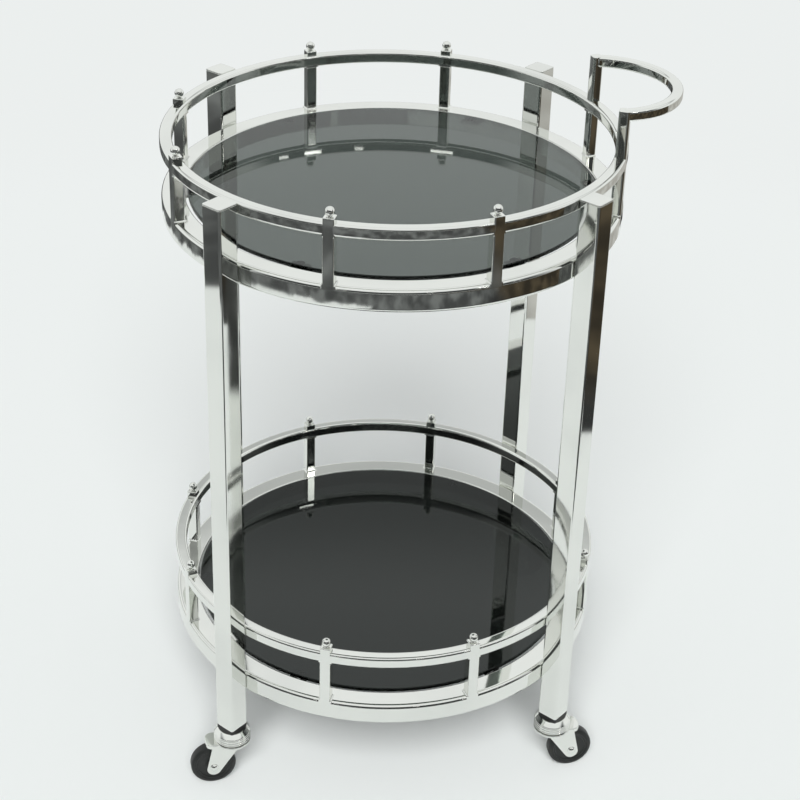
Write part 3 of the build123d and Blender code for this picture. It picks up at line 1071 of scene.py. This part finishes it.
# %% [markdown]
# The sheet has a ragged round edge, and the room beyond it is dark. That room could be built
# as a set. The tubes draw whatever they mirror out into streaks, so one plane just above
# the floor is enough: only reflections see it, and it is clear where the sheet lies. The
# distance from the cart, with noise taken off it, gives the sheet's edge.

# %% Cutting the sheet out of the dark room
sheet_radius = 1.475
sheet_wander, wander_scale = 0.1, 6.0
sheet_right = 0.935
sheet_rim, side_rim = 0.02, 0.01
front_patch_left, front_patch_edge = -0.35, -0.75
front_patch_side_rim, front_patch_edge_rim = 0.06, 0.03
room_detail = 4.0
room_paint, place, surface = new_finish("dark_room_floor")
across, along = place.part("X"), place.part("Y")
reach = ((across - axis_x) * (across - axis_x) + along * along).math("SQRT")
ragged = reach - sheet_wander * place.noise(wander_scale, room_detail)
off_sheet = ragged.ramp(sheet_radius - sheet_rim, sheet_radius)
beside = across.ramp(sheet_right, sheet_right + side_rim)
# Besides the room beyond the sheet, the plane is also dark over the sheet in front of the cart, right
# of front_patch_left and nearer the camera than front_patch_edge: a dark patch that the metal mirrors.
front_patch_side = across.ramp(front_patch_left - front_patch_side_rim, front_patch_left)
front_patch_end = along.ramp(front_patch_edge - front_patch_edge_rim, front_patch_edge + front_patch_edge_rim)
front_patch = front_patch_side * (1 - front_patch_end)
print("sheet radius", sheet_radius, "right edge", sheet_right)

# %% [markdown]
# The room's tones are read from the streaks in the photo's metal: grey all round, darker
# close by on the right, brown further off, and one pale corner behind. Soft blots break
# each tone up, so that no streak is flat.

# %% Darkening the room round the sheet
room_size, room_height = 18, 1 * mm
pale_right, pale_back = (0.85, 0.95), (0.24, 0.36)
near_right, near_front = (0.05, 0.2), (-1.2, -1.1)
far_right = (0.98, 1.2)
blot_scale, blot_soft = 7.0, (0.38, 0.68)
pale_corner = across.ramp(*pale_right) * along.ramp(*pale_back)
near_side = across.ramp(*near_right) * along.ramp(*near_front)
far_side = across.ramp(*far_right)
blot = place.noise(blot_scale, room_detail).ramp(*blot_soft)
grey = blot.blend((0.065, 0.068, 0.068, 1), (0.19, 0.2, 0.198, 1))
dark = blot.blend((0.03, 0.031, 0.031, 1), (0.05, 0.051, 0.05, 1))
brown = blot.blend((0.035, 0.03, 0.022, 1), (0.09, 0.072, 0.047, 1))
beige = blot.blend((0.42, 0.41, 0.38, 1), (0.6, 0.6, 0.57, 1))
feed(surface, Base_Color=(0, 0, 0, 1), Specular_IOR_Level=0.0, Emission_Strength=1.0,
     Emission_Color=pale_corner.blend(far_side.blend(near_side.blend(grey, dark), brown), beige),
     Alpha=off_sheet.math("MAXIMUM", beside).math("MAXIMUM", front_patch))
clear_selection()
bpy.ops.mesh.primitive_plane_add(size=room_size, location=(0, 0, room_height))
room = bpy.context.object
room.name = "dark_room"
room.data.materials.append(room_paint)
room.visible_camera = False
room.visible_diffuse = False
room.visible_transmission = False
room.visible_shadow = False
print("dark room", room.dimensions[:])

# %% [markdown]
# The world gives plain soft light. For reflections it is a white wall with one dimmer band,
# and dark low down in front, where the camera stands. A picture of a real studio could do
# the same, but ramps over a ray's heading need no file and can be moved one by one.

# %% Painting the walls that the metal shows
band_rise, band_fall = (0.47, 0.53), (0.56, 0.61)
front_turn, front_top = (0.1, 0.45), (0.52, 0.66)
wall_white, band_grey = (0.9, 0.92, 0.915, 1), (0.5, 0.515, 0.51, 1)
front_dark, fill_light = (0.05, 0.053, 0.053, 1), (0.3, 0.307, 0.305, 1)
world = bpy.data.worlds.new("studio")
bpy.context.scene.world = world
world.use_nodes = True
heading = Value(world.node_tree).node("ShaderNodeTexCoord", output="Generated")
toward, up = heading.part("Y"), heading.part("Z")
mirrored = heading.node("ShaderNodeLightPath", output="Is Glossy Ray")
shown = heading.node("ShaderNodeLightPath", output="Is Camera Ray")
band = up.ramp(*band_rise) * (1 - up.ramp(*band_fall))
wall = band.blend(wall_white, band_grey)
in_front = (0.0 - toward).ramp(*front_turn) * (1 - up.ramp(*front_top))
walls = in_front.blend(wall, front_dark)
plain = shown.blend(fill_light, background)
print("wall band between heights", band_rise[0], "and", band_fall[1])

# %% [markdown]
# In the photo, small white glints lie in the glass where it mirrors the posts and tubes. Small
# lamps in the room can give them. Real lamp objects would also light the cart, so these are
# bright patches of the world. Each stands at the heading that its glint needs, and only
# mirror rays that have not been scattered by a dull surface see it.

# %% Hanging small lamps for the glints
lamp_light = (12, 12, 11.7, 1)
lamp_rim = 0.003
low_lamp, high_lamp, lamp_height = 0.388, 0.548, 0.011
round_turn = toward.math("ARCTAN2", heading.part("X"))


def lamp(turn, half_spread, foot):
    """1 in a lamp that stands at a heading, from its foot up, and 0 outside it."""
    outside = (round_turn - turn).math("ABSOLUTE").ramp(half_spread - lamp_rim, half_spread + lamp_rim)
    above = up.ramp(foot + lamp_height, foot + lamp_height + lamp_rim)
    return (1 - outside) * up.ramp(foot - lamp_rim, foot + lamp_rim) * (1 - above)


left_collar = lamp(-0.86, 0.085, low_lamp)
right_collar = lamp(-2.13, 0.11, low_lamp) * 0.5
middle_glint = lamp(-1.32, 0.04, low_lamp) * 0.6
left_glint = lamp(-0.55, 0.05, low_lamp) * 0.4
lower_post = lamp(-0.8, 0.08, high_lamp)
lamps = left_collar + right_collar + middle_glint + left_glint + lower_post
unscattered = 1 - heading.node("ShaderNodeLightPath", output="Diffuse Depth").math("MINIMUM", 1.0)
sky = mirrored.blend(plain, (lamps * unscattered).blend(walls, lamp_light))
backdrop = world.node_tree.nodes["Background"]
world.node_tree.links.new(sky.socket, backdrop.inputs["Color"])
backdrop.inputs["Strength"].default_value = 1.0
print("world nodes:", len(world.node_tree.nodes))

# %% [markdown]
# The key is a sun lamp from in front, a little above the camera. Its wide spread keeps the
# shadow soft. The shadow falls behind the cart, and the floor stays bright almost up to the
# wheels. The metal does not mirror the key, because the walls are all it should show.

# %% Placing the key light
key_from = Vector((-0.12, -1.0, 0.9))
key_distance = 3
key_spread = 34
key_energy = 3.35
clear_selection()
bpy.ops.object.light_add(type="SUN", location=key_distance * key_from)
key = bpy.context.object
key.name = "front_key"
key.rotation_euler = (-key_from).to_track_quat("-Z", "Y").to_euler()
key.data.angle = radians(key_spread)
key.data.energy = key_energy
key.visible_glossy = False
print("key from", key_from[:], "spread over", key_spread, "degrees")
